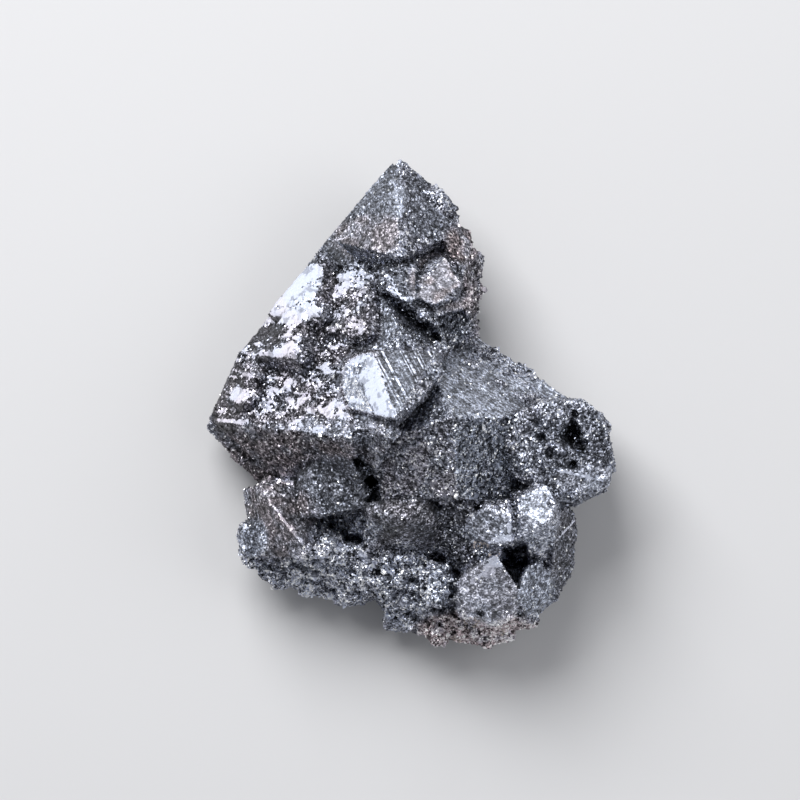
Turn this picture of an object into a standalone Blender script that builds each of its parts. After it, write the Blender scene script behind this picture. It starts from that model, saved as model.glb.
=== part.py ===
"""Hematite pseudomorph after magnetite: octahedral crystals grown together in one solid cluster.

The cluster lies on its broken back. World units are metres, +Z is up, +Y runs to the tall crystal's apex,
and the origin is on the resting plane under the middle of the cluster.

The front is laid out on a grid: x to the right and y down, in tenths of a millimetre from the grid's corner,
and z as the height above the resting plane in millimetres."""

import math
import random

import bmesh
import bpy
from mathutils import Euler, Matrix, Vector
from mathutils.bvhtree import BVHTree

TENTH = 0.0001
MM = 0.001
GRID_MIDDLE = (412.0, 403.0)
SEED = 7

# How the octahedral axes of each main crystal lean: degrees to the right, degrees up, turn about its own axis.
TALL_LEAN = (-5, -10, 5)
APEX_LEAN = (2, -20, 5)
SIDE_LEAN = (8, 12, 12)

# Cleavage planes: the outward normal (right, up, out) and a grid point that the plane passes through.
TALL_LEFT = ((-0.91, 0.41, 0.0), (224, 388, 0))
TALL_RIGHT = ((1.0, 0.15, -0.1), (459, 215, 8))
TALL_GROOVE = ((1.0, -0.55, 0.1), (428, 378, 22))
SIDE_LEFT = ((-1.0, -0.15, 0.25), (374, 465, 15))
SIDE_FOOT = ((0.0, -1.0, 0.15), (450, 508, 12))

# Octahedra: name, grid position of the front corner, centre-to-corner reach in mm, lean, cleavage planes.
CRYSTALS = [
    ("tall", (402, 434, 28.5), 23.6, TALL_LEAN, (TALL_LEFT, TALL_RIGHT, TALL_GROOVE)),
    ("tall_point", (402, 221, 14.6), 5.6, TALL_LEAN, ()),
    ("tall_shoulder", (403, 257, 18.6), 6.5, APEX_LEAN, ()),
    ("terrace_low", (352, 437, 24.2), 15.4, TALL_LEAN, (TALL_LEFT,)),
    ("terrace_top", (324, 321, 15.2), 6.6, TALL_LEAN, ()),
    ("terrace_ridge", (369, 336, 20.4), 5.0, TALL_LEAN, ()),
    ("terrace_middle", (303, 360, 16.6), 6.0, TALL_LEAN, ()),
    ("terrace_edge", (257, 378, 12.0), 2.4, TALL_LEAN, ()),
    ("terrace_corner", (252, 402, 13.0), 3.0, TALL_LEAN, ()),
    ("side", (455, 415, 26.0), 18.3, SIDE_LEAN, (SIDE_LEFT, SIDE_FOOT)),
]

# Distorted crystals and crusts, each the solid between its corners.
BLOCKS = {
    "bright_face": [
        (345, 360, 19.0), (373, 350, 23.0), (397, 418, 30.0), (350, 409, 22.8), (341, 382, 20.0),
        (438, 350, 22.0), (441, 375, 23.4), (421, 400, 26.6),
        (345, 350, 10), (445, 345, 8), (445, 385, 10), (405, 428, 18), (352, 418, 14),
    ],
    "tall_left_rim": [
        (395, 160, 9.0), (363, 197, 8.1), (327, 240, 6.9), (266, 317, 5.2), (243, 348, 4.6),
        (412, 200, 8.5), (300, 340, 8.0),
        (402, 175, 4.5), (335, 248, 2.5), (276, 324, 1.5), (254, 352, 1.5),
    ],
    "upper_right_rim": [
        (445, 222, 13.4), (459, 223, 12.6), (474, 245, 12.8), (480, 262, 11.5), (483, 292, 10),
        (480, 306, 8.5), (447, 243, 15), (463, 268, 15.4), (470, 290, 14.5), (468, 312, 13),
        (440, 220, 4), (470, 240, 2), (478, 290, 2), (465, 340, 1),
    ],
    "upper_right_face": [
        (432, 262, 15.8), (447, 257, 15.8), (463, 283, 16.8), (456, 297, 17.4), (437, 305, 18.6),
        (416, 297, 18.8), (418, 282, 17.6),
        (420, 250, 10), (468, 270, 10), (470, 305, 10), (445, 318, 9), (408, 310, 10),
    ],
    "upper_right_step": [
        (392, 268, 18.0), (418, 262, 17.0), (418, 298, 19.9), (404, 303, 20.8), (387, 293, 20.4),
        (383, 280, 19.2),
        (380, 262, 12), (425, 255, 12), (425, 306, 12), (400, 312, 12), (378, 298, 12),
    ],
    "upper_right_foot": [
        (437, 309, 15.5), (458, 303, 15.5), (474, 312, 12.5), (477, 335, 9.5), (462, 348, 11),
        (444, 340, 13),
        (430, 300, 3), (478, 305, 3), (477, 343, 3), (450, 352, 3), (432, 345, 3),
    ],
    "right_knob": [
        (514, 414, 17.9), (545, 402, 17.2), (585, 399, 16.3), (600, 411, 15.8), (609, 428, 15.3),
        (614, 450, 14.6), (617, 462, 13.3), (612, 485, 12.3), (598, 492, 12.8), (580, 503, 12.4),
        (560, 500, 14.8), (545, 487, 15.6), (511, 472, 16.0), (507, 440, 17.5),
        (540, 395, 5), (590, 402, 5), (610, 425, 4), (615, 462, 5), (600, 494, 3), (578, 508, 3),
        (530, 500, 3),
    ],
    "side_bump": [
        (366, 503, 16), (392, 498, 17.5), (428, 500, 18), (441, 512, 17.5), (438, 525, 17.5),
        (400, 522, 18.5), (370, 515, 17), (372, 530, 14), (400, 545, 13.5), (438, 545, 14),
        (380, 548, 11),
        (360, 500, 6), (450, 500, 6), (445, 555, 6), (375, 555, 6),
    ],
    "side_recess": [
        (445, 500, 17), (470, 495, 17.5), (478, 512, 17.5), (470, 545, 15), (455, 560, 12),
        (440, 550, 13),
        (430, 500, 5), (485, 500, 5), (480, 560, 5), (440, 565, 5),
    ],
    "low_cube": [
        (472, 512, 17.5), (505, 500, 18.5), (513, 515, 19), (514, 543, 18), (495, 545, 17.5),
        (474, 535, 16.5),
        (465, 500, 8), (524, 495, 10), (524, 548, 8), (470, 555, 8),
    ],
    "low_bright": [
        (518, 497, 17.5), (535, 487, 17), (548, 484, 17.5), (557, 500, 18.5), (556, 515, 19),
        (545, 523, 19.5), (521, 512, 18.4), (516, 540, 16.8), (556, 543, 16.5), (560, 520, 17),
        (510, 490, 10), (562, 490, 8), (565, 545, 8), (510, 548, 8),
    ],
    "low_left_crust": [
        (446, 540, 14.5), (505, 543, 16), (503, 556, 14.4), (487, 562, 14.6), (468, 574, 12.8),
        (450, 562, 12.2),
        (446, 545, 5), (505, 548, 5), (500, 566, 4), (450, 572, 4),
    ],
    "low_right_crust": [
        (530, 543, 16), (558, 542, 14.5), (566, 562, 10.5), (552, 566, 11.8), (532, 562, 12.4),
        (528, 540, 5), (566, 545, 5), (566, 570, 4), (530, 566, 4),
    ],
    "right_flank": [
        (558, 500, 15), (577, 512, 9.5), (578, 540, 8.5), (577, 564, 7.5), (574, 576, 6.5),
        (562, 588, 6.5), (557, 603, 5.5), (545, 611, 6), (552, 585, 11), (556, 560, 13),
        (556, 545, 15),
        (540, 500, 2), (575, 515, 3), (574, 565, 2), (550, 600, 2), (520, 560, 3),
    ],
    "foot_pyramid": [
        (499, 554, 17.6), (487, 560, 16.9), (463, 578, 14.2), (459, 596, 13.2), (468, 611, 12.2),
        (488, 614, 12.6), (505, 618, 12.2), (519, 610, 13.0), (521, 592, 14.8), (508, 568, 16.8),
        (455, 575, 6), (450, 605, 5), (458, 635, 3), (490, 647, 2), (518, 640, 2), (530, 600, 5),
    ],
    "foot_side": [
        (526, 568, 14.5), (543, 560, 13.5), (553, 578, 12), (552, 598, 11), (540, 608, 11.5),
        (526, 612, 12.5), (521, 598, 14.3),
        (520, 560, 5), (560, 580, 4), (555, 605, 3), (525, 638, 2),
    ],
    "foot_rod": [
        (437, 563, 14), (449, 565, 14), (457, 580, 13.5), (455, 598, 13), (443, 604, 12.5),
        (431, 598, 13), (430, 580, 14),
        (435, 560, 6), (455, 562, 6), (458, 605, 5), (430, 605, 5),
    ],
    "crust_middle": [
        (382, 548, 12), (430, 552, 12), (428, 600, 10.5), (425, 632, 6), (398, 623, 5), (380, 600, 7),
        (375, 545, 2), (440, 545, 2), (440, 640, 1), (420, 637, 2), (395, 624, 2), (376, 600, 2),
    ],
    "crust_foot": [
        (425, 600, 9), (462, 600, 9), (500, 620, 8.5), (515, 640, 5), (490, 649, 6), (460, 640, 6),
        (440, 640, 6), (420, 636, 6), (430, 560, 4), (520, 560, 4),
    ],
    "crust_left": [
        (243, 548, 7), (300, 552, 10), (330, 540, 11), (380, 548, 12), (385, 596, 7), (372, 600, 4),
        (355, 604, 4), (330, 599, 4), (300, 592, 4), (262, 576, 4), (243, 560, 5),
        (255, 540, 0), (380, 540, 0), (375, 592, 0), (330, 592, 0), (265, 570, 0),
    ],
    "left_ridge": [
        (261, 484, 12.5), (281, 515, 14.5), (303, 543, 14.5), (245, 490, 8), (250, 512, 8.5),
        (298, 556, 12), (262, 556, 9.5), (300, 480, 11), (316, 505, 11.5), (318, 530, 12),
        (312, 552, 12.5),
        (250, 490, 2), (250, 540, 2), (320, 560, 2), (320, 480, 2),
    ],
    "left_nub": [
        (242, 522, 9.5), (237, 533, 8), (243, 548, 7.5), (244, 559, 6), (262, 556, 9.5),
        (264, 528, 11),
        (250, 520, 3), (245, 550, 2), (270, 560, 2),
    ],
    "middle_face": [
        (300, 475, 13.2), (318, 462, 15.5), (345, 455, 17.2), (358, 460, 17.6), (378, 485, 16.8),
        (362, 507, 15.8), (330, 513, 15.2), (302, 518, 13.8),
        (300, 512, 8), (365, 512, 8), (385, 480, 8), (340, 450, 8), (300, 460, 4),
    ],
    "left_foot": [
        (211, 418, 6.0), (208, 427, 5.2), (250, 431, 8.6), (300, 437, 13.2), (208, 434, 3.5), (223, 449, 3),
        (241, 466, 3), (263, 485, 3.5), (300, 482, 7.5),
        (225, 430, 0), (240, 455, 0), (265, 478, 0), (320, 480, 0), (320, 430, 0),
    ],
    "core": [
        (255, 490, 6), (300, 440, 8), (400, 340, 9), (470, 350, 8), (560, 430, 9), (566, 560, 8),
        (520, 610, 6), (440, 620, 5), (392, 600, 6), (330, 575, 7), (262, 555, 6),
        (262, 480, -2), (300, 440, -2), (400, 330, -2), (470, 340, -2), (565, 420, -2),
        (570, 560, -2), (520, 620, -2), (440, 625, -2), (390, 600, -2), (330, 580, -2), (260, 555, -2),
    ],
}

# Open clefts between the crystals, each the space between its corners.
CLEFTS = {
    "under_upper_right": [
        (440, 316, 15.2), (466, 310, 13.2), (474, 330, 11), (462, 350, 12), (440, 340, 15.2),
        (436, 312, 26), (470, 306, 26), (480, 330, 26), (464, 354, 26), (434, 342, 26),
    ],
    "beside_upper_right": [
        (387, 293, 15.5), (425, 322, 12.5), (443, 339, 12),
        (382, 283, 24), (402, 303, 24), (432, 313, 24), (452, 332, 24), (440, 352, 24), (404, 342, 24),
        (376, 306, 24),
    ],
    "beside_middle_face": [
        (355, 457, 9), (361, 460, 8), (380, 482, 9), (373, 487, 10),
        (350, 455, 26), (364, 458, 26), (384, 482, 26), (370, 490, 26),
    ],
    "above_foot": [
        (500, 556, 6), (531, 558, 6), (519, 584, 7),
        (498, 554, 22), (535, 556, 22), (519, 588, 22),
    ],
}

# Etched pits, as octahedra sunk into a face: grid x and y, width and height across in mm, depth in mm.
PITS = [
    (574, 434, 1.5, 1.9, 3.4),
    (582, 444, 1.2, 0.9, 2.6),
    (577, 413, 0.7, 0.6, 1.4),
    (575, 465, 0.8, 0.7, 1.6),
    (543, 437, 0.7, 0.8, 1.5),
    (552, 453, 0.8, 0.6, 1.5),
    (507, 421, 0.6, 0.9, 1.5),
    (331, 388, 0.8, 0.9, 1.2),
    (372, 268, 0.5, 0.8, 1.2),
    (483, 614, 0.8, 0.7, 1.6),
    (453, 592, 0.7, 1.4, 3.0),
]

# Small crystals grown on the faces: grid box, how many to try, smallest and largest reach in mm, how deep they
# sit as a share of their reach, the lean that they share with their host (None for random), and the scatter
# about it in degrees. The flanks have theirs between two directions in degrees.
DRUSE = [
    ((215, 345, 335, 432), 34, 0.6, 1.4, 0.4, TALL_LEAN, 3),
    ((275, 255, 390, 345), 10, 0.6, 1.2, 0.45, TALL_LEAN, 3),
    ((345, 170, 450, 255), 12, 0.6, 1.0, 0.5, TALL_LEAN, 8),
    ((212, 436, 360, 486), 16, 0.8, 1.4, 0.55, TALL_LEAN, 12),
    ((380, 300, 482, 345), 8, 0.8, 1.3, 0.45, None, 0),
    ((440, 345, 590, 412), 14, 0.7, 1.2, 0.5, SIDE_LEAN, 4),
    ((378, 418, 530, 505), 34, 0.7, 1.4, 0.4, SIDE_LEAN, 5),
    ((530, 400, 616, 498), 16, 0.8, 1.6, 0.4, None, 0),
    ((365, 500, 578, 560), 14, 0.5, 1.1, 0.45, None, 0),
    ((240, 484, 365, 556), 16, 0.6, 1.2, 0.45, None, 0),
    ((315, 514, 376, 546), 12, 1.0, 1.9, 0.3, None, 0),
    ((240, 546, 440, 640), 140, 1.0, 2.3, 0.3, None, 0),
    ((420, 610, 560, 650), 40, 0.9, 1.8, 0.5, None, 0),
]
FLANK_DRUSE = (150, 1.3, 2.8, 0.62)
FLANK_SPAN = (200, 440)
CROWDING = 0.55

# Chips broken from the rim of the back: direction of the rim point in degrees, distance from the middle in mm,
# slope of the chip in degrees.
BACK_CHIPS = [
    (12, 12.5, 32), (48, 9.5, 38), (80, 17.0, 30), (128, 15.5, 36), (168, 15.0, 28),
    (205, 12.5, 34), (243, 15.5, 30), (282, 19.0, 35), (318, 15.5, 30), (345, 12.5, 40),
]

DARK_STEEL = (0.115, 0.12, 0.13, 1.0)


def on_grid(point):
    """World position of a grid point."""
    x, y, z = point
    return Vector(((x - GRID_MIDDLE[0]) * TENTH, (GRID_MIDDLE[1] - y) * TENTH, z * MM))


def leaning(lean):
    """Rotation of a crystal whose front corner leans to the right and up, and turns about its own axis."""
    right, up, turn = (math.radians(angle) for angle in lean)
    return Matrix.Rotation(-up, 3, "X") @ Matrix.Rotation(right, 3, "Y") @ Matrix.Rotation(turn, 3, "Z")


def solid_between(corners):
    """A closed convex mesh through the outermost of the corners."""
    shape = bmesh.new()
    for corner in corners:
        shape.verts.new(corner)
    hull = bmesh.ops.convex_hull(shape, input=shape.verts)
    inside = {piece for piece in hull["geom_interior"] if isinstance(piece, bmesh.types.BMVert)}
    bmesh.ops.delete(shape, geom=list(inside), context="VERTS")
    bmesh.ops.recalc_face_normals(shape, faces=shape.faces)
    return shape


def octahedron(middle, rotation, reach):
    """An octahedron; reach is the centre-to-corner distance, or one for each of its axes."""
    shape = bmesh.new()
    bmesh.ops.create_uvsphere(shape, u_segments=4, v_segments=2, radius=1.0)
    size = Matrix.Diagonal(reach if hasattr(reach, "__len__") else (reach, reach, reach))
    bmesh.ops.transform(shape, matrix=Matrix.Translation(middle) @ (rotation @ size).to_4x4(), verts=shape.verts)
    bmesh.ops.recalc_face_normals(shape, faces=shape.faces)
    return shape


def cleaved(shape, planes):
    """The convex shape with what lies beyond each cleavage plane split off."""
    for normal, point in planes:
        everything = shape.verts[:] + shape.edges[:] + shape.faces[:]
        bmesh.ops.bisect_plane(shape, geom=everything, plane_co=on_grid(point), plane_no=normal, clear_outer=True)
        kept = [vert.co.copy() for vert in shape.verts]
        shape.free()
        shape = solid_between(kept)
    return shape


def add_object(name, shape, collection):
    """Link a new object that holds the shape."""
    mesh = bpy.data.meshes.new(name)
    shape.to_mesh(mesh)
    shape.free()
    thing = bpy.data.objects.new(name, mesh)
    collection.objects.link(thing)
    return thing


def hidden_collection(name):
    """A collection for the shapes that the cluster is joined from or cut with."""
    collection = bpy.data.collections.new(name)
    bpy.context.scene.collection.children.link(collection)
    return collection


def combine(target, operation, collection):
    """Join the collection's solids to the target, or cut them out of it, and keep the result."""
    for thing in collection.objects:
        thing.hide_render = True
        thing.display_type = "WIRE"
    step = target.modifiers.new(operation.lower(), "BOOLEAN")
    step.operation = operation
    step.operand_type = "COLLECTION"
    step.collection = collection
    step.solver = "EXACT"
    graph = bpy.context.evaluated_depsgraph_get()
    result = bpy.data.meshes.new_from_object(target.evaluated_get(graph), depsgraph=graph)
    target.modifiers.clear()
    target.data = result


def surface_of(thing):
    """Search tree of the object's faces."""
    shape = bmesh.new()
    shape.from_mesh(thing.data)
    tree = BVHTree.FromBMesh(shape)
    shape.free()
    return tree


def small_crystal(place, normal, size, sunk, lean, scatter, dice):
    """A small crystal sunk into the face at a place: an octahedron parallel to its host, or a stubby
    one with its corners grown over, turned at random."""
    middle = place - normal * size * sunk
    if lean is not None:
        return octahedron(middle, leaning([angle + dice.uniform(-scatter, scatter) for angle in lean]), size)
    rotation = Euler([dice.uniform(0, math.tau) for _ in range(3)]).to_matrix()
    corners = []
    for first, second in ((0, 1), (1, 2), (2, 0)):
        for near, far in ((1, 1), (1, -1), (-1, 1), (-1, -1)):
            corner = Vector((0, 0, 0))
            corner[first] = near * dice.uniform(0.5, 0.85)
            corner[second] = far * dice.uniform(0.5, 0.85)
            corners.append(middle + rotation @ corner * size)
    return solid_between(corners)


def grow_druse(target, collection):
    """Scatter small crystals over the front and the flanks."""
    dice = random.Random(SEED)
    tree = surface_of(target)
    grown = []

    def grow(origin, direction, smallest, largest, sunk, lean, scatter):
        place, normal, _, _ = tree.ray_cast(origin, direction)
        size = dice.uniform(smallest, largest) * MM
        if place is None:
            return
        if any((place - other).length < (size + room) * CROWDING for other, room in grown):
            return
        grown.append((place, size))
        shape = small_crystal(place, normal, size, sunk, lean, scatter, dice)
        add_object("druse_%03d" % len(grown), shape, collection)

    for (left, top, right, bottom), tries, smallest, largest, sunk, lean, scatter in DRUSE:
        for _ in range(tries):
            above = on_grid((dice.uniform(left, right), dice.uniform(top, bottom), 60))
            grow(above, Vector((0, 0, -1)), smallest, largest, sunk, lean, scatter)
    tries, smallest, largest, sunk = FLANK_DRUSE
    for _ in range(tries):
        angle = math.radians(dice.uniform(*FLANK_SPAN))
        start = Vector((math.cos(angle) * 50, math.sin(angle) * 50, dice.uniform(1.5, 12))) * MM
        aim = Vector((dice.uniform(-6, 6) * MM, dice.uniform(-6, 6) * MM, start.z))
        grow(start, (aim - start).normalized(), smallest, largest, sunk, None, 0)


def break_back(collection):
    """The slab under the resting plane, and wedges that take the rim of the back off at a slope."""
    slab = bmesh.new()
    bmesh.ops.create_cube(slab, size=1.0)
    bmesh.ops.scale(slab, vec=(0.09, 0.09, 0.02), verts=slab.verts)
    bmesh.ops.translate(slab, vec=(0, 0, -0.01), verts=slab.verts)
    add_object("slab", slab, collection)
    for number, (turn, distance, slope) in enumerate(BACK_CHIPS):
        shape = bmesh.new()
        bmesh.ops.create_cube(shape, size=1.0)
        wedge = Matrix.Rotation(math.radians(turn), 4, "Z") @ Matrix.Translation((distance * MM, 0, 0))
        wedge = wedge @ Matrix.Rotation(math.radians(-slope), 4, "Y")
        wedge = wedge @ Matrix.Translation((15 * MM, 0, -5 * MM)) @ Matrix.Diagonal((0.030, 0.022, 0.010, 1))
        bmesh.ops.transform(shape, matrix=wedge, verts=shape.verts)
        add_object("chip_%02d" % number, shape, collection)


def outer_shell(shape):
    """The vertices that hang together with the topmost one, without the walls of any gap closed in
    between the small crystals."""
    start = max(shape.verts, key=lambda vert: vert.co.z)
    found = {start}
    edge = [start]
    while edge:
        for link in edge.pop().link_edges:
            for vert in link.verts:
                if vert not in found:
                    found.add(vert)
                    edge.append(vert)
    return found


def settle(target):
    """Fill the gaps closed in by the joining, and bring the middle of the cluster over the origin."""
    shape = bmesh.new()
    shape.from_mesh(target.data)
    outside = outer_shell(shape)
    bmesh.ops.delete(shape, geom=[vert for vert in shape.verts if vert not in outside], context="VERTS")
    bmesh.ops.triangulate(shape, faces=shape.faces)
    across = [vert.co.x for vert in shape.verts]
    along = [vert.co.y for vert in shape.verts]
    middle = Vector((max(across) + min(across), max(along) + min(along), 0)) / 2
    bmesh.ops.translate(shape, vec=-middle, verts=shape.verts)
    shape.to_mesh(target.data)
    shape.free()


for leftover in list(bpy.data.objects):
    bpy.data.objects.remove(leftover, do_unlink=True)

model = bpy.data.collections.new("hematite_pseudomorph")
bpy.context.scene.collection.children.link(model)
grown_together = hidden_collection("grown_together")
clefts = hidden_collection("clefts")
pits = hidden_collection("pits")
druse = hidden_collection("druse")
chips = hidden_collection("chips")

name, tip, reach, lean, planes = CRYSTALS[0]
turned = leaning(lean)
middle = on_grid(tip) - turned @ Vector((0, 0, reach * MM))
cluster = add_object("crystal_cluster", cleaved(octahedron(middle, turned, reach * MM), planes), model)
for name, tip, reach, lean, planes in CRYSTALS[1:]:
    turned = leaning(lean)
    middle = on_grid(tip) - turned @ Vector((0, 0, reach * MM))
    add_object(name, cleaved(octahedron(middle, turned, reach * MM), planes), grown_together)
for name, corners in BLOCKS.items():
    add_object(name, solid_between([on_grid(corner) for corner in corners]), grown_together)
combine(cluster, "UNION", grown_together)

for name, corners in CLEFTS.items():
    add_object(name, solid_between([on_grid(corner) for corner in corners]), clefts)
skin = surface_of(cluster)
for number, (x, y, across, along, depth) in enumerate(PITS):
    face, _, _, _ = skin.ray_cast(on_grid((x, y, 60)), Vector((0, 0, -1)))
    turned = Matrix.Rotation(0.3 * number, 3, "Z")
    pit = octahedron(face, turned, (across * MM, along * MM, depth * MM))
    add_object("pit_%02d" % number, pit, pits)
combine(cluster, "DIFFERENCE", clefts)

grow_druse(cluster, druse)
combine(cluster, "UNION", druse)
combine(cluster, "DIFFERENCE", pits)
break_back(chips)
combine(cluster, "DIFFERENCE", chips)
settle(cluster)

steel = bpy.data.materials.new("dark_steel")
steel.use_nodes = True
shader = steel.node_tree.nodes["Principled BSDF"]
shader.inputs["Base Color"].default_value = DARK_STEEL
shader.inputs["Metallic"].default_value = 0.85
shader.inputs["Roughness"].default_value = 0.42
cluster.data.materials.clear()
cluster.data.materials.append(steel)
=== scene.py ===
import math
import random

import bpy
import numpy as np
from mathutils import Euler, Matrix, Vector, noise
from mathutils.bvhtree import BVHTree


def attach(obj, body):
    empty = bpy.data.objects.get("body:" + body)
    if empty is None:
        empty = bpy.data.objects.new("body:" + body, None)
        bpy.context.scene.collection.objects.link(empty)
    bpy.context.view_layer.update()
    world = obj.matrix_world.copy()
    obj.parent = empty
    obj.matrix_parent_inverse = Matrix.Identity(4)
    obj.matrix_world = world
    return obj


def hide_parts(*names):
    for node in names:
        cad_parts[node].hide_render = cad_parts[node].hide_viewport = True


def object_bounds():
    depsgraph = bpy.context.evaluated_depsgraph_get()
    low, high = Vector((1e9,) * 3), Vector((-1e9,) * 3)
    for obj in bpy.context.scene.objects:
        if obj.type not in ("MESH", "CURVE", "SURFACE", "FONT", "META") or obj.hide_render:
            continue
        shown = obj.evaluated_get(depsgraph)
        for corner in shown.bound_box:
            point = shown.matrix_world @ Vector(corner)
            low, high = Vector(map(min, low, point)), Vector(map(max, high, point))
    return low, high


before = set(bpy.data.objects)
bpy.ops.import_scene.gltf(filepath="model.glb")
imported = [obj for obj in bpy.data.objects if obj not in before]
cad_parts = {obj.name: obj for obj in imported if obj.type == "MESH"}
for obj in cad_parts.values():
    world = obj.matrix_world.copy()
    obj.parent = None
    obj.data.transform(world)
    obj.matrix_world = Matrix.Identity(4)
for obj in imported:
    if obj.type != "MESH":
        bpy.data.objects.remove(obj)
solid_low, solid_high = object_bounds()


# THE CRYSTAL MASS. Octahedra of magnetite that grew into each other and were turned to hematite:
# dark steel-grey, with flat shining faces where the growth ended in a plane and a rough sparkling
# skin elsewhere. It is one piece, so it is one closed skin, a fifth of a millimetre fine.
MM = 0.001
FINE = 0.19 * MM
MASS_TRIANGLES = 190000

# Places on the mass are given on a grid of tenths of a millimetre, x to the right and y down, seen from
# above. This is the grid place over the origin.
GRID_MIDDLE = (412.0, 403.0)

# The faces: x and y of the middle, half width and half height, how rough, how light and how brown. How
# light is partly the mineral's own, dull or fresh, and partly painted light: lit faces, the white face
# and the shine at the tall crystal's tip are painted lighter, and faces turned down, crevices and pits
# are painted darker, the deepest almost black. How brown is the mineral's own brown in patches, and on
# faces turned down it is partly a painted reflection. Those of the second list keep to the one plane face
# under their middle, and end with the direction of its growth lines in degrees and their strength. The
# first three values are for all the rest.
DEFAULT_SKIN = (0.8, 0.24, 0.2)
ZONES = [
    (285, 345, 95, 100, 0.8, 0.12, 0.45), (372, 268, 40, 10, 0.8, 0.14, 0.1),
    (375, 180, 24, 30, 0.35, 0.26, 0.0), (338, 228, 22, 36, 0.35, 0.2, 0.0),
    (300, 280, 20, 34, 0.35, 0.16, 0.0), (262, 328, 20, 36, 0.35, 0.12, 0.4),
    (226, 395, 18, 44, 0.35, 0.12, 0.5),
    (375, 214, 30, 5, 0.7, 0.16, 0.0), (402, 285, 26, 20, 0.8, 0.13, 0.1),
    (462, 243, 18, 20, 0.7, 0.19, 1.0), (474, 300, 12, 40, 1.0, 0.16, 0.7),
    (436, 326, 40, 22, 1.0, 0.18, 0.1), (280, 462, 85, 32, 0.8, 0.14, 0.8),
    (575, 448, 50, 56, 0.65, 0.2, 0.1), (585, 478, 34, 13, 0.45, 0.60, 0.1),
    (405, 522, 46, 30, 0.5, 0.13, 0.3), (398, 507, 34, 7, 0.5, 0.16, 0.4),
    (460, 530, 20, 34, 0.9, 0.13, 0.2), (490, 528, 24, 22, 0.4, 0.53, 0.1),
    (540, 528, 24, 26, 0.5, 0.56, 0.1), (570, 560, 18, 54, 0.6, 0.13, 0.2),
    (310, 572, 85, 34, 1.3, 0.52, 0.15), (405, 585, 28, 44, 1.3, 0.40, 0.1),
    (443, 582, 15, 24, 0.7, 0.34, 0.0), (480, 634, 62, 22, 1.3, 0.54, 1.6),
    (335, 486, 46, 30, 0.5, 0.17, 0.1), (278, 522, 40, 40, 0.5, 0.24, 0.7),
    (252, 538, 16, 20, 0.5, 0.38, 0.0), (345, 532, 34, 18, 1.0, 0.45, 0.1),
    # Rows with a lightness of 0.04 or less are painted shade: in the hollow at the foot, in a cleft and
    # in small pits.
    (512, 570, 18, 16, 0.8, 0.04, 0.0), (490, 592, 34, 34, 0.36, 0.85, 0.25),
    (537, 590, 19, 26, 0.45, 0.50, 0.0), (574, 433, 7, 11, 0.8, 0.02, 0.0),
    (581, 451, 5, 5, 0.8, 0.03, 0.0), (573, 463, 3, 5, 0.8, 0.03, 0.0),
    (360, 462, 5, 9, 0.6, 0.03, 0.0), (366, 472, 6, 9, 0.6, 0.03, 0.0),
    (371, 485, 6, 9, 0.6, 0.03, 0.0),
]
FACES = [
    (375, 190, 34, 30, 0.35, 0.27, 0.0, 0, 0), (432, 198, 34, 36, 0.55, 0.17, 0.1, 0, 0),
    (374, 236, 44, 22, 0.42, 0.34, 0.6, 0, 0), (445, 281, 34, 30, 0.28, 0.62, 0.9, 0, 0),
    (383, 318, 16, 24, 0.4, 0.34, 0.0, 0, 0), (374, 387, 34, 42, 0.0, 0.85, 0.0, 0, 0),
    (408, 372, 36, 40, 0.3, 0.23, 0.1, 118, 2.2), (340, 427, 70, 10, 0.5, 0.36, 0.2, 0, 1.0),
    (428, 392, 36, 60, 0.6, 0.30, 0.1, 0, 0), (510, 382, 90, 50, 0.42, 0.46, 0.0, -32, 0.5),
    (495, 455, 46, 60, 1.2, 0.27, 0.0, 0, 0), (412, 470, 46, 50, 0.9, 0.32, 0.4, 0, 0),
    (541, 504, 22, 24, 0.34, 0.78, 0.0, 0, 0), (399, 199, 7, 18, 0.3, 0.62, 0.0, 90, 0.6),
    (399, 385, 14, 38, 0.3, 0.48, 0.0, 118, 1.8), (492, 353, 22, 8, 1.0, 0.34, 0.1, 0, 0),
    (524, 370, 22, 8, 1.0, 0.34, 0.1, 0, 0), (556, 388, 22, 8, 1.0, 0.34, 0.2, 0, 0),
]

# What is as bright as a mirror: plates on the tall crystal's upper left face, by middle, half length and
# half width, and bright edges elsewhere, by their two ends and half width. The plates stand a little
# proud and are smoother, and their near white colour is a painted reflection; the edges are painted
# highlights. BAND is how bright that face is without them, from its top to its foot: grid y, and
# brightness there.
PLATES = [
    (307, 272, 12, 8), (299, 285, 16, 8), (290, 299, 14, 7), (284, 311, 16, 8), (300, 309, 18, 9),
    (315, 306, 7, 8), (347, 278, 9, 7), (342, 290, 4, 4), (358, 287, 4, 3), (296, 321, 24, 3),
    (352, 325, 5, 5), (364, 324, 5, 9), (343, 312, 5, 5), (355, 335, 15, 2), (253, 344, 6, 4),
    (290, 347, 12, 4), (268, 354, 28, 4), (246, 364, 6, 4), (247, 374, 12, 5), (320, 366, 7, 4),
    (303, 367, 4, 3), (287, 369, 5, 3), (268, 381, 8, 4), (283, 385, 4, 3), (237, 395, 14, 7),
    (252, 391, 8, 3), (303, 400, 7, 3), (290, 399, 4, 3), (325, 409, 7, 4), (338, 405, 8, 4),
    (340, 415, 8, 4), (272, 412, 7, 3), (250, 413, 5, 3), (232, 421, 15, 2), (258, 427, 5, 3),
    (283, 429, 9, 2), (300, 418, 5, 3), (300, 338, 10, 3), (330, 331, 5, 3),
]
BAND = [
    (255, -0.5), (266, 0.7), (320, 0.7), (328, -0.42), (340, -0.3), (350, 0.0), (358, -0.22),
    (368, -0.2), (436, -0.2),
]
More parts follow.
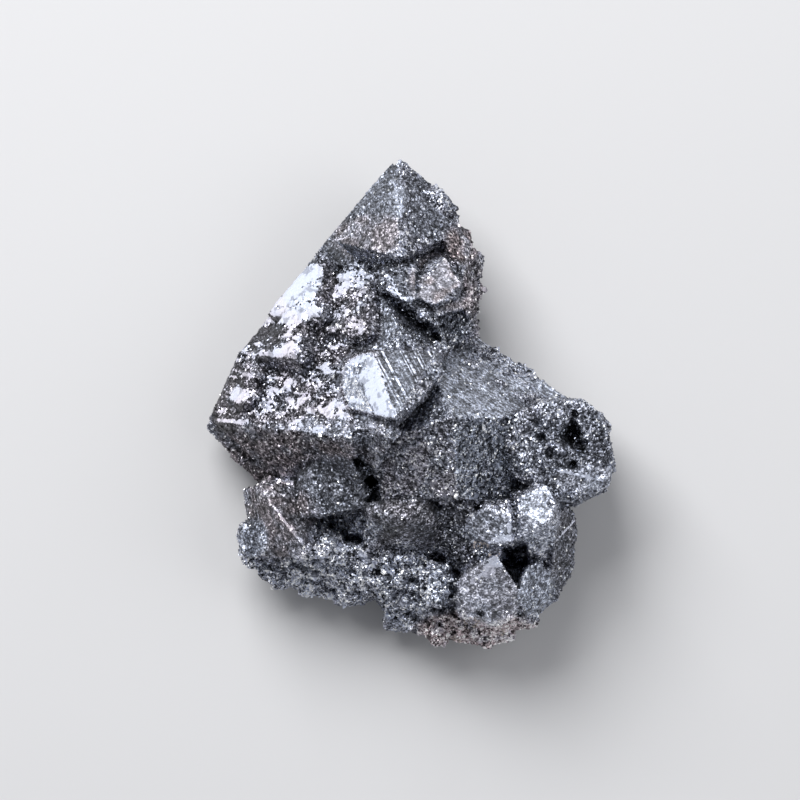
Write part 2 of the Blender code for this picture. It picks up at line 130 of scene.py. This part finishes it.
HIGHLIGHT_EDGES = [
    (393, 288, 399, 298, 4.5), (399, 299, 411, 300, 2.5), (386, 275, 392, 280, 2),
    (372, 360, 389, 412, 6.0), (280, 515, 302, 542, 1.4), (269, 499, 281, 515, 1.2),
    (509, 505, 509, 531, 2.4), (494, 538, 511, 537, 3.2), (268, 478, 292, 482, 2.4),
    (280, 472, 284, 476, 2.6), (486, 571, 500, 556, 6.0), (472, 582, 487, 569, 1.8),
    (372, 352, 383, 385, 1.2), (383, 385, 397, 418, 1.2), (368, 377, 379, 406, 8.5),
    (557, 540, 575, 521, 0.9), (361, 553, 365, 560, 3.0), (386, 566, 392, 572, 2.4),
    (556, 469, 602, 480, 1.6),
]

# Octahedra one to three millimetres across that stand in the druse and along the side crystal's long
# edge: middle and half sizes of a patch, how many, and their least and largest half size in millimetres.
# Each is sunk a quarter of its half size.
DRUSE = [
    (310, 578, 70, 24, 46, 0.5, 1.1), (385, 590, 50, 34, 46, 0.5, 1.2), (450, 620, 50, 26, 34, 0.5, 1.0),
    (515, 632, 40, 16, 14, 0.4, 0.8), (345, 535, 32, 14, 10, 0.4, 0.8), (252, 535, 16, 26, 12, 0.4, 0.7),
    (575, 445, 36, 40, 12, 0.4, 0.6), (366, 552, 4, 4, 2, 0.9, 1.1), (390, 568, 5, 5, 2, 0.9, 1.2),
    (440, 582, 4, 6, 2, 1.2, 1.5), (440, 596, 4, 6, 2, 1.0, 1.3), (490, 351, 17, 4, 9, 0.5, 0.9),
    (522, 368, 17, 4, 9, 0.5, 0.9), (554, 386, 17, 4, 8, 0.4, 0.8),
]
OCTAHEDRON = [(1, 0, 0), (0, 1, 0), (-1, 0, 0), (0, -1, 0), (0, 0, 1), (0, 0, -1)]
OCTAHEDRON_FACES = [
    (0, 1, 4), (1, 2, 4), (2, 3, 4), (3, 0, 4), (1, 0, 5), (2, 1, 5), (3, 2, 5), (0, 3, 5),
]
SUNK = 0.25

# Where corners are worn round: middle and half sizes.
WORN = [(268, 322, 22, 20), (410, 525, 46, 26), (462, 530, 18, 26)]


def read(values, field="vector"):
    """A mesh's named list of vectors, as rows of numbers."""
    rows = np.zeros(len(values) * 3, np.float32)
    values.foreach_get(field, rows)
    return rows.reshape(-1, 3)


def move(mesh, points):
    """Put a mesh's points at these places."""
    mesh.vertices.foreach_set("co", points.astype(np.float32).ravel())
    mesh.update()


# The solid's loose triangles, merged at their corners.
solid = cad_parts["crystal_cluster"]
corners, which = np.unique(read(solid.data.vertices, "co").round(6), axis=0, return_inverse=True)
corners = [Vector(corner) for corner in corners.tolist()]
which = which.ravel().tolist()
triangles = [tuple(which[corner] for corner in face.vertices) for face in solid.data.polygons]
solid_tree = BVHTree.FromPolygons(corners, triangles)


def seen_at(x, y):
    """The spot of the solid that shows at a grid place from above, and the way it faces."""
    high_above = Vector((x - GRID_MIDDLE[0], GRID_MIDDLE[1] - y, 1000)) * MM / 10
    return solid_tree.ray_cast(high_above, Vector((0, 0, -1)))[:2]


dice = random.Random(4)
for x, y, wide, high, count, least, largest in DRUSE:
    for _ in range(count):
        angle, far = dice.uniform(0, 2 * math.pi), math.sqrt(dice.random())
        across, along = x + wide * far * math.cos(angle), y + high * far * math.sin(angle)
        turn, size = [dice.uniform(0, 2 * math.pi) for _ in "xyz"], dice.uniform(least, largest) * MM
        spot, normal = seen_at(across, along)
        if spot and normal.z > 0.3:
            first, turned = len(corners), Euler(turn).to_matrix()
            triangles += [tuple(first + corner for corner in face) for face in OCTAHEDRON_FACES]
            corners += [
                spot - normal * SUNK * size + turned @ Vector(corner) * size for corner in OCTAHEDRON
            ]
crystal_tree = BVHTree.FromPolygons(corners, triangles)

# The fine skin is pulled onto the crystals' own faces, which keeps them flat.
mass = bpy.data.objects.new("crystal_mass", bpy.data.meshes.new("crystal_mass"))
mass.data.from_pydata(corners, [], triangles)
bpy.context.scene.collection.objects.link(mass)
bpy.context.view_layer.objects.active = mass
skin = mass.modifiers.new("fine_skin", "REMESH")
skin.mode = "VOXEL"
skin.voxel_size = FINE
bpy.ops.object.modifier_apply(modifier="fine_skin")
skin_points = read(mass.data.vertices, "co").tolist()
spots = np.array([crystal_tree.find_nearest(point)[0] for point in skin_points])
move(mass.data, spots)
outward = read(mass.data.vertex_normals)

# The mesh's edges, once from each end, in an order that is the same in each run.
ends = np.zeros(len(mass.data.edges) * 2, np.int32)
mass.data.edges.foreach_get("vertices", ends)
ends = np.concatenate([ends.reshape(-1, 2), ends.reshape(-1, 2)[:, ::-1]])
ends = ends[np.lexsort(ends.T)]
neighbours = np.bincount(ends[:, 0], minlength=len(spots))


def evened(values, rounds):
    """Values at the mesh's points, evened out with their neighbours' this many times."""
    for _ in range(rounds):
        values = np.stack([
            np.bincount(ends[:, 0], column[ends[:, 1]], len(spots)) / neighbours for column in values.T
        ], axis=1)
    return values


facing = np.array([solid_tree.find_nearest(spot)[1] for spot in spots.tolist()])
grid_x = spots[:, 0] / MM * 10 + GRID_MIDDLE[0]
grid_y = GRID_MIDDLE[1] - spots[:, 1] / MM * 10
BASE = 2.5  # in millimetres: lower than this, no place on the grid counts
front = np.clip(spots[:, 2] / MM - BASE, 0, 1)


def facing_at(x, y, wide, high):
    """The way that most of the solid faces round a grid place."""
    steps = (-0.4, -0.2, 0, 0.2, 0.4)
    found = [
        seen_at(x + across * wide, y + along * high)[1] or Vector((0, 0, 1))
        for across in steps for along in steps
    ]
    found = np.array(found)
    return found[(found @ found.T > 0.985).sum(1).argmax()]


def inside(x, y, wide, high):
    """How far each point is inside an oval on the grid, with a soft rim: 0 to 1."""
    return front * np.clip((1.15 - np.hypot((grid_x - x) / wide, (grid_y - y) / high)) / 0.3, 0, 1)


rough, tone_and_painted_light, warm = (np.full(len(spots), value) for value in DEFAULT_SKIN)
lines = np.zeros(len(spots))
line_place = np.zeros(len(spots))
for x, y, wide, high, *skin_here in ZONES:
    share = inside(x, y, wide, high)
    for layer, value in zip((rough, tone_and_painted_light, warm), skin_here):
        layer += (value - layer) * share
for x, y, wide, high, *skin_here, along, strength in FACES:
    alike = facing @ facing_at(x, y, wide, high)
    share = inside(x, y, wide, high) * np.clip((alike - 0.93) / 0.04, 0, 1)
    for layer, value in zip((rough, tone_and_painted_light, warm), skin_here):
        layer += (value - layer) * share
    turn = math.radians(along)
    lines += (strength - lines) * share
    line_place = np.where(share > 0, grid_x * math.sin(turn) + grid_y * math.cos(turn), line_place)

# The terraces of the tall crystal's upper left face, an octahedron's face that leans and turns with it:
# about X, Y and Z in degrees. Then its right, upper and lower limits.
TALL_LEAN = (10, -5, 5)
TERRACE_LIMITS = (400, 250, 437)
tip, roll, turn = (math.radians(angle) for angle in TALL_LEAN)
lean = Matrix.Rotation(tip, 3, "X") @ Matrix.Rotation(roll, 3, "Y") @ Matrix.Rotation(turn, 3, "Z")
plate_out = np.array(lean @ Vector((-1, 1, 1)).normalized())
right, upper, lower = TERRACE_LIMITS
terrace = np.clip((facing @ plate_out - 0.9) / 0.05, 0, 1)
terrace = terrace * (grid_x < right) * (grid_y > upper) * (grid_y < lower)
terrace = np.clip(1.6 * evened(terrace[:, None], 30)[:, 0] - 0.2, 0, 1)
worn = np.max([terrace * (grid_x < 375)] + [inside(*place) for place in WORN], axis=0)
spots += (evened(spots, 24) - spots) * worn[:, None]

# Wandering, so that no outline is even, and soft flecks that are longer than wide. Each is made of
# single noises, because noise_vector gives other numbers in each run.
on_plane = list(zip(grid_x.tolist(), grid_y.tolist()))
drift = np.array([[
    noise.noise(Vector((0.08 * x + 0.05 * y, 0.11 * y - 0.03 * x, start)))
    + 0.35 * noise.noise(Vector((0.4 * x, 0.4 * y, start))) for start in (3.5, 9.5)
] for x, y in on_plane])
wander = zip((grid_x + 9 * drift[:, 0]).tolist(), (grid_y + 5 * drift[:, 1]).tolist())
fleck = np.array([
    noise.fractal(Vector((0.085 * x + 0.03 * y, 0.15 * y - 0.04 * x, 0.5)), 0.45, 2.1, 5)
    for x, y in wander
])

# Where it is bright: over 0 a plate with its painted reflection, or a painted highlight, under 0 the
# ground between.
plates_and_painted_highlights = np.interp(grid_y, *zip(*BAND))
plates_and_painted_highlights -= 0.9 * np.clip((grid_x + 12 * drift[:, 0] - 311) / 8, 0, 1) * (grid_y < 340)
for x, y, half_long, half_wide in PLATES:
    past = np.maximum(np.abs(grid_x + 8 * drift[:, 0] - x) - (half_long - half_wide), 0)
    plates_and_painted_highlights = np.maximum(plates_and_painted_highlights, 0.8 * (1 - np.hypot(past, grid_y + 5 * drift[:, 1] - y) / half_wide))
plates_and_painted_highlights = np.where((terrace > 0.5) & (front > 0.8), plates_and_painted_highlights + 0.9 * fleck, -1.0)
for x, y, end_x, end_y, half_wide in HIGHLIGHT_EDGES:
    length = math.hypot(end_x - x, end_y - y)
    along = np.clip(((grid_x - x) * (end_x - x) + (grid_y - y) * (end_y - y)) / length**2, 0, 1)
    off = np.hypot(grid_x - x - along * (end_x - x), grid_y - y - along * (end_y - y))
    painted_highlight = np.maximum(0.7 * (1 - off / half_wide) + 0.3 * fleck, -1)
    plates_and_painted_highlights = np.maximum(plates_and_painted_highlights, np.where(front > 0.5, painted_highlight, -1))

# The relief in millimetres: lumps and grit on rough skin, and plates that stand over the ground.
LUMPY, GRAINY, GRITTY, PLATE_RISE = 0.12, 0.09, 0.05, 0.14
rng = np.random.default_rng(11)
lumps = np.array([noise.fractal(Vector(spot) * 900, 1.0, 2.0, 3) for spot in spots.tolist()])
grains = np.array([noise.noise(Vector(spot) * 3600) for spot in spots.tolist()])
grit = rng.uniform(-1, 1, len(spots))
raised = np.clip(plates_and_painted_highlights / 0.1 + 0.5, 0, 1) * terrace
uneven = rough * LUMPY * lumps + (0.3 + 0.7 * rough) * (GRAINY * grains + GRITTY * grit)
swell = (1 - raised) * uneven - 0.03
swell += terrace * (PLATE_RISE * raised - PLATE_RISE / 2)
moved = spots + outward * (swell * MM)[:, None]
moved[spots[:, 2] < 0.02 * MM, 2] = 0
# How deep each point lies under the smoothed skin round it, in millimetres; the finishes paint shade into
# the hollows and a highlight onto the ridges from it.
hollow = ((evened(moved, 40) - moved) * outward).sum(1) / MM
move(mass.data, moved)
crust = np.clip((rough - 0.2) / 0.8, 0, 1.3) * (1 - raised)

# Where pale grains of another mineral stick to the crust: middle and half sizes.
PALE = [(471, 625, 9, 8), (494, 554, 6, 4), (481, 545, 9, 4), (457, 640, 8, 4), (505, 634, 6, 4)]
pale = np.max([inside(*place) for place in PALE], axis=0)

# The points carry what the finishes and the crust read: each is 0 to about 1, apart from the place
# along the growth lines, in grid steps, and how deep a hollow is, in millimetres.
marks = {
    "tone_and_painted_light": tone_and_painted_light, "warm": warm, "rough": rough, "plates_and_painted_highlights": plates_and_painted_highlights, "crust": crust, "hollow": hollow,
    "pale": pale, "lines": lines, "line_place": line_place,
}
for label, values in marks.items():
    layer = mass.data.attributes.new(label, "FLOAT", "POINT")
    layer.data.foreach_set("value", values.astype(np.float32))
mass.data.update()


def kept_in_box(mesh):
    """Move the points of a mesh that are outside the solid's box onto its sides."""
    move(mesh, np.clip(read(mesh.vertices, "co"), np.array(solid_low), np.array(solid_high)))


# Triangles are merged where the shape allows it, but not on the plates, whose outlines are fine.
sharp = (plates_and_painted_highlights > -0.95) | (lines > 0.6)
others = mass.vertex_groups.new(name="others")
others.add(np.flatnonzero(~sharp).tolist(), 1.0, "REPLACE")
thin = mass.modifiers.new("thin_out", "DECIMATE")
thin.ratio = MASS_TRIANGLES / sum(len(face.vertices) - 2 for face in mass.data.polygons)
thin.vertex_group = "others"
thin.use_collapse_triangulate = True
bpy.ops.object.modifier_apply(modifier="thin_out")
kept_in_box(mass.data)
bpy.ops.object.shade_flat()


class Wire:
    """A socket of a material's nodes. Sums and products on it add Math nodes."""

    def __init__(self, socket):
        self.socket = socket

    def node(self, kind, settings=None, inputs=None, output=0):
        """Add a node to the same tree: its settings first, then values or links of its sockets."""
        tree = self.socket.id_data
        made = tree.nodes.new(kind)
        for key, value in (settings or {}).items():
            setattr(made, key, value)
        for key, value in (inputs or {}).items():
            if isinstance(value, Wire):
                tree.links.new(value.socket, made.inputs[key])
            else:
                made.inputs[key].default_value = value
        return Wire(made.outputs[output])

    def sum(self, operation, first, second):
        return self.node("ShaderNodeMath", {"operation": operation}, {0: first, 1: second})

    def __add__(self, other):
        return self.sum("ADD", self, other)

    def __radd__(self, other):
        return self.sum("ADD", other, self)

    def __sub__(self, other):
        return self.sum("SUBTRACT", self, other)

    def __rsub__(self, other):
        return self.sum("SUBTRACT", other, self)

    def __mul__(self, other):
        return self.sum("MULTIPLY", self, other)

    def __rmul__(self, other):
        return self.sum("MULTIPLY", other, self)

    def between(self, low, high):
        """0 below low, 1 above high, and even between them."""
        return self.node("ShaderNodeMapRange", {}, {"Value": self, "From Min": low, "From Max": high})

    def blend(self, first, second):
        """Colour that goes from the first to the second as this goes from 0 to 1."""
        return self.node("ShaderNodeMix", {"data_type": "RGBA"}, {0: self, 6: first, 7: second}, 2)

    def mark(self, name):
        """One of the marks that the mesh carries at its points."""
        return self.node("ShaderNodeAttribute", {"attribute_name": name}, {}, 2)

    def cloud(self, size, detail=2):
        """Soft random spots of about this size."""
        return self.node("ShaderNodeTexNoise", {}, {"Vector": self, "Scale": 1 / size, "Detail": detail})


def new_finish(name):
    """A material with a Principled shader: the material, its shader and its Object coordinates."""
    finish = bpy.data.materials.new(name)
    finish.use_nodes = True
    shader = finish.node_tree.nodes["Principled BSDF"]
    place = finish.node_tree.nodes.new("ShaderNodeTexCoord")
    return finish, shader, Wire(place.outputs["Object"])


def feed(shader, **wires):
    """Link wires to the shader's sockets, with underscores for the spaces in their names."""
    for key, wire in wires.items():
        shader.id_data.links.new(wire.socket, shader.inputs[key.replace("_", " ")])


def glitter(place, size, strength):
    """A normal that differs from grain to grain, as on a crust of small crystal faces."""
    grain = place.node("ShaderNodeTexVoronoi", {}, {"Vector": place, "Scale": 1 / size}, 1)
    tilt = grain.node("ShaderNodeVectorMath", {"operation": "SUBTRACT"}, {
        0: grain, 1: (0.5, 0.5, 0.5)})
    tilt = tilt.node("ShaderNodeVectorMath", {"operation": "SCALE"}, {0: tilt, "Scale": strength})
    straight = place.node("ShaderNodeNewGeometry", {}, {}, 1)
    tilted = tilt.node("ShaderNodeVectorMath", {"operation": "ADD"}, {0: straight, 1: tilt})
    return tilted.node("ShaderNodeVectorMath", {"operation": "NORMALIZE"}, {0: tilted})


def painted_shade_and_ridge_light(place, light):
    """A brightness with painted shade in the hollows and a painted highlight on the ridges."""
    hollow = place.mark("hollow")
    painted_shade = 1.05 - 0.65 * hollow.between(0.02, 0.3)
    return light * painted_shade * (1 + 0.4 * hollow.between(-0.06, -0.3))


STEEL = (0.87, 0.94, 1.13, 1)
BROWN_STEEL = (1.06, 0.91, 0.95, 1)


def steel(place, light):
    """The colour of hematite at this brightness, brown in patches where the mark says warm; on faces
    turned down that brown is partly a painted reflection.
    """
    brown_share = place.mark("warm") * (0.35 + 0.65 * place.cloud(2.2 * MM, 2).between(0.38, 0.56))
    tint = brown_share.blend(STEEL, BROWN_STEEL)
    return tint.node("ShaderNodeVectorMath", {"operation": "SCALE"}, {0: tint, "Scale": light})


hematite, shader, place = new_finish("hematite_skin")
coarse = place.mark("rough")
GRAIN = 0.15 * MM
cells = place.node("ShaderNodeTexVoronoi", {}, {"Vector": place, "Scale": 1 / GRAIN}, 1)
grit = cells.between(0.22, 0.78)
patches = place.cloud(3.0 * MM, 3).between(0.3, 0.7)
spot = place.cloud(0.5 * MM, 3).between(0.34, 0.66)
dust = place.cloud(0.19 * MM, 2).between(0.3, 0.7)
growth = place.node("ShaderNodeTexNoise", {"noise_dimensions": "1D"}, {
    "W": place.mark("line_place"), "Scale": 0.42, "Detail": 3})
drawn = place.mark("lines") * (0.4 + patches)
stripe = (growth - 0.5) * drawn * 1.8
mottle = (0.1 + 1.8 * spot) * (0.2 + 1.6 * dust) * (0.2 + 1.6 * grit)
ground = place.mark("tone_and_painted_light") * (1 + (0.7 + 0.3 * coarse) * (mottle - 1))
# Painted shade in the hollows and painted highlights on the ridges.
ground = painted_shade_and_ridge_light(place, ground * (0.6 + 0.8 * patches) * (1 + stripe))
# Painted glints: a few grains and the crests of the growth lines are given a lighter colour, as if they
# caught the light.
painted_glint = grit.between(0.9, 0.98) * spot * coarse.between(0.2, 0.8) * (0.6 + 0.4 * coarse)
painted_glint = painted_glint + drawn * growth.between(0.54, 0.66) * spot * 0.6
chips = place.cloud(0.32 * MM, 3).between(0.3, 0.7)
# The plates and edges get a near white colour: a painted reflection on the plates and painted highlights
# along the edges. The plates are also smoother, less metallic and more even.
plate_with_painted_reflection = (place.mark("plates_and_painted_highlights") + 0.25 * (spot - 0.5) + 0.45 * (chips - 0.5)).between(0.0, 0.12)
matte = coarse.between(0.6, 0.4) * coarse.between(0.1, 0.3)
crack = place.cloud(0.9 * MM, 4).between(0.45, 0.40)
light = plate_with_painted_reflection.node("ShaderNodeMix", {}, {
    0: plate_with_painted_reflection, 2: ground * (1 - 0.55 * matte) + painted_glint * 0.9, 3: 1.0 - 0.4 * crack - 0.15 * dust})
feed(shader,
     Base_Color=steel(place, light),
     Roughness=0.46 - 0.2 * plate_with_painted_reflection + 0.1 * (patches - 0.5),
     Metallic=0.95 - 0.6 * matte * (1 - plate_with_painted_reflection) - 0.4 * plate_with_painted_reflection,
     Normal=glitter(place, GRAIN, (0.3 + 0.35 * coarse) * (1 - 0.75 * plate_with_painted_reflection)))
mass.data.materials.clear()
mass.data.materials.append(hematite)
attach(mass, "root")
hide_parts("crystal_cluster")


# THE SUGARY CRUST. Countless small octahedra stand on every face that did not end smooth, and
# each turns its own faces to the light, so the crust sparkles. They grew in several sizes.
FULL_TURN = 6.28
grain = bpy.data.objects.new("grain", bpy.data.meshes.new("grain"))
grain.data.from_pydata(OCTAHEDRON, [], OCTAHEDRON_FACES)
bpy.context.scene.collection.objects.link(grain)


def crust(name, finish, apart, smallest, largest, sunk, seed, mark, least):
    """Small octahedra over the crystal mass, as one mesh, as close as the named mark says.

    How far apart they stand and their half sizes are in millimetres, and how deep they are sunk is a
    share of the smallest. They stand only where the mark is over the least.
    """
    apart, smallest, largest = apart * MM, smallest * MM, largest * MM
    grown = bpy.data.objects.new(name, mass.data.copy())
    bpy.context.scene.collection.objects.link(grown)
    tree = bpy.data.node_groups.new(name, "GeometryNodeTree")
    tree.interface.new_socket("Geometry", in_out="INPUT", socket_type="NodeSocketGeometry")
    tree.interface.new_socket("Geometry", in_out="OUTPUT", socket_type="NodeSocketGeometry")
    first = Wire(tree.nodes.new("NodeGroupInput").outputs[0])
    weight = first.node("GeometryNodeInputNamedAttribute", {"data_type": "FLOAT"}, {"Name": mark})
    scatter = first.node("GeometryNodeDistributePointsOnFaces", {"distribute_method": "POISSON"}, {
        "Mesh": first, "Distance Min": apart, "Density Max": 1.1 / apart**2,
        "Density Factor": weight - least, "Seed": seed})
    outward = Wire(scatter.socket.node.outputs["Normal"])
    sink = outward.node("ShaderNodeVectorMath", {"operation": "SCALE"}, {
        0: outward, "Scale": -sunk * smallest})
    settled = scatter.node("GeometryNodeSetPosition", {}, {"Geometry": scatter, "Offset": sink})
    turn = first.node("FunctionNodeRandomValue", {"data_type": "FLOAT_VECTOR"}, {
        0: (0, 0, 0), 1: (FULL_TURN,) * 3, "Seed": seed})
    size = first.node("FunctionNodeRandomValue", {"data_type": "FLOAT_VECTOR"}, {
        0: (smallest,) * 3, 1: (largest,) * 3, "Seed": seed + 1})
    shape = first.node("GeometryNodeObjectInfo", {}, {"Object": grain, "As Instance": True}, "Geometry")
    stood = settled.node("GeometryNodeInstanceOnPoints", {}, {
        "Points": settled, "Instance": shape, "Rotation": turn, "Scale": size})
    own = first.node("FunctionNodeRandomValue", {"data_type": "FLOAT"}, {"Seed": seed + 2}, 1)
    marked = stood.node("GeometryNodeStoreNamedAttribute", {"data_type": "FLOAT", "domain": "INSTANCE"}, {
        "Geometry": stood, "Name": "own", "Value": own})
    real = marked.node("GeometryNodeRealizeInstances", {}, {"Geometry": marked})
    last = tree.nodes.new("NodeGroupOutput")
    tree.links.new(real.socket, last.inputs[0])
    step = grown.modifiers.new("grow", "NODES")
    step.node_group = tree
    bpy.context.view_layer.objects.active = grown
    bpy.ops.object.modifier_apply(modifier="grow")
    kept_in_box(grown.data)
    grown.data.materials.clear()
    grown.data.materials.append(finish)
    return grown


sugar, shader, place = new_finish("sugary_crust")
own = place.mark("own")
# Painted glints: a few grains are given a much lighter colour, as if they caught the light, and are made
# smoother as well. The hollows get painted shade here too.
painted_glint = own.between(0.84, 0.92)
spot = place.cloud(0.5 * MM, 3).between(0.34, 0.66)
light = painted_shade_and_ridge_light(place, place.mark("tone_and_painted_light") * (0.15 + 1.9 * own) * (0.3 + 1.4 * spot)) + 0.8 * painted_glint
feed(shader,
     Base_Color=steel(place, light),
     Roughness=0.45 - 0.2 * painted_glint,
     Normal=glitter(place, 0.2 * MM, 0.3))
shader.inputs["Metallic"].default_value = 0.95

# How far apart, the least and largest half size, how deep sunk, the seed and the least crust.
SIZES = [
    ("crust_fine", 0.27, 0.08, 0.17, 0.2, 1, 0.0),
    ("crust_middle", 0.5, 0.14, 0.27, 0.3, 2, 0.1),
    ("crust_coarse", 1.0, 0.26, 0.56, 0.4, 3, 0.6),
]
for name, apart, smallest, largest, sunk, seed, least in SIZES:
    grown = crust(name, sugar, apart, smallest, largest, sunk, seed, "crust", least)
    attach(grown, "root")


# THE PALE GRAINS. A little of the rock that the crystals grew in is still caught in the crust at the
# foot: loose grains of a chalky mineral, pinkish white and dull.
CHALK_DARK = (0.30, 0.25, 0.23, 1)
CHALK_LIGHT = (0.86, 0.78, 0.73, 1)
chalk, shader, place = new_finish("pale_mineral")
shade = (0.3 + 0.7 * place.mark("own")) * (0.5 + place.cloud(0.3 * MM, 3))
feed(shader, Base_Color=shade.between(0.2, 1.2).blend(CHALK_DARK, CHALK_LIGHT))
shader.inputs["Roughness"].default_value = 0.7
grown = crust("pale_grains", chalk, 0.3, 0.1, 0.24, 0.1, 7, "pale", 0.2)
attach(grown, "root")
bpy.data.objects.remove(grain)


# THE STAGE. A plain pale floor, soft light all round, one large light high on the far left that the
# faces shine in, and a weaker one on the right that fills the shadows.
FLOOR = 6
bpy.ops.mesh.primitive_plane_add(size=FLOOR)
floor = bpy.context.active_object
floor.name = "floor"
paper, shader, place = new_finish("pale_paper")
shader.inputs["Base Color"].default_value = (0.60, 0.60, 0.61, 1)
shader.inputs["Roughness"].default_value = 0.9
floor.data.materials.append(paper)

world = bpy.data.worlds.new("studio")
world.use_nodes = True
world.node_tree.nodes["Background"].inputs["Color"].default_value = (0.93, 0.95, 1.0, 1)
world.node_tree.nodes["Background"].inputs["Strength"].default_value = 0.3
bpy.context.scene.world = world


def soft_light(name, place, size, power):
    """A square light that faces the cluster."""
    lamp = bpy.data.lights.new(name, "AREA")
    lamp.size = size
    lamp.energy = power
    stand = bpy.data.objects.new(name, lamp)
    stand.location = place
    stand.rotation_euler = (-Vector(place)).to_track_quat("-Z", "Y").to_euler()
    bpy.context.scene.collection.objects.link(stand)


soft_light("key_light", (-0.16, 0.34, 0.42), 0.34, 4.0)
soft_light("fill_light", (0.45, 0.1, 0.5), 0.5, 1.2)

eye = bpy.data.cameras.new("camera")
eye.lens = 675
eye.sensor_width = 36
eye.clip_start = 0.05
eye.clip_end = 20
camera = bpy.data.objects.new("camera", eye)
camera.location = (-0.0012, 0.00035, 1.514)
bpy.context.scene.collection.objects.link(camera)
bpy.context.scene.camera = camera
bpy.context.scene.view_settings.view_transform = "Standard"
